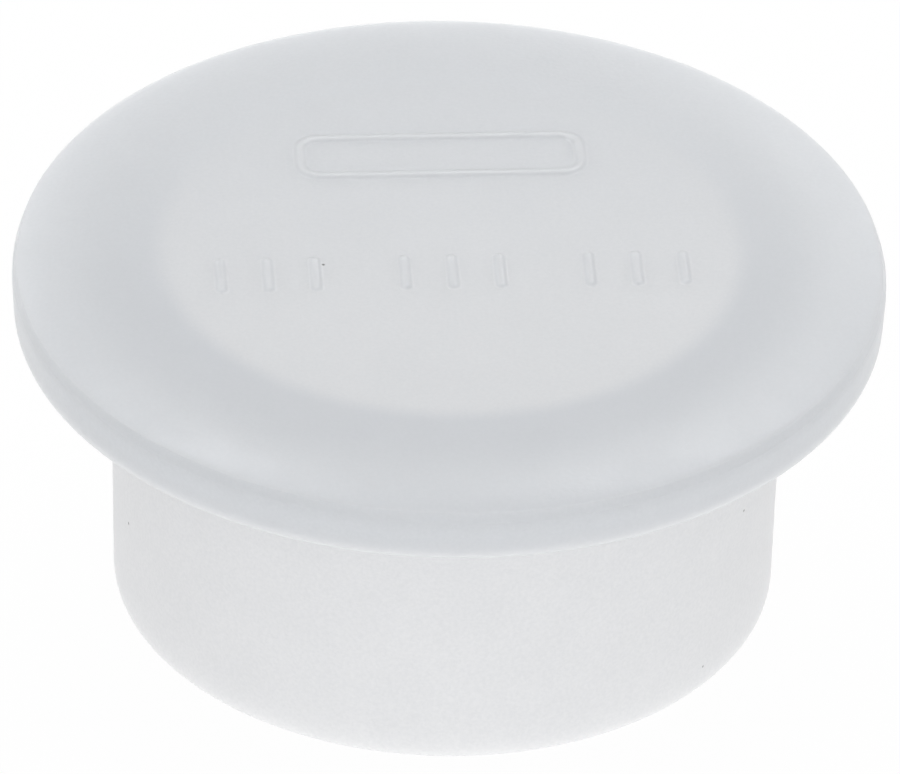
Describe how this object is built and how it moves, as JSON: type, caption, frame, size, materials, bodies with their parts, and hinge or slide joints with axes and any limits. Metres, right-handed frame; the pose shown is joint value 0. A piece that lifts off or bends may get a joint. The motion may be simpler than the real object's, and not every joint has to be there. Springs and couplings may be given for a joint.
{
  "type": "pipe cap",
  "caption": "Round moulded plastic cap: a wide crowned flange over a short hollow stub that plugs the open end of a pipe.",
  "frame": {"origin": "centre of the stub's open end, the face the cap stands on when it is put down", "axes": "+Z along the cap's axis, from the stub's open end up through the flange; +X along the row of raised bars on the top; +Y from that row towards the raised frame"},
  "size_m": [0.0322, 0.0322, 0.0145],
  "materials": {
    "natural_polyethylene": "unpigmented polyethylene: milky and slightly translucent, satin, with a fine moulded texture"
  },
  "bodies": {
    "root": {"cap_body": "natural_polyethylene"}
  },
  "joints": []
}
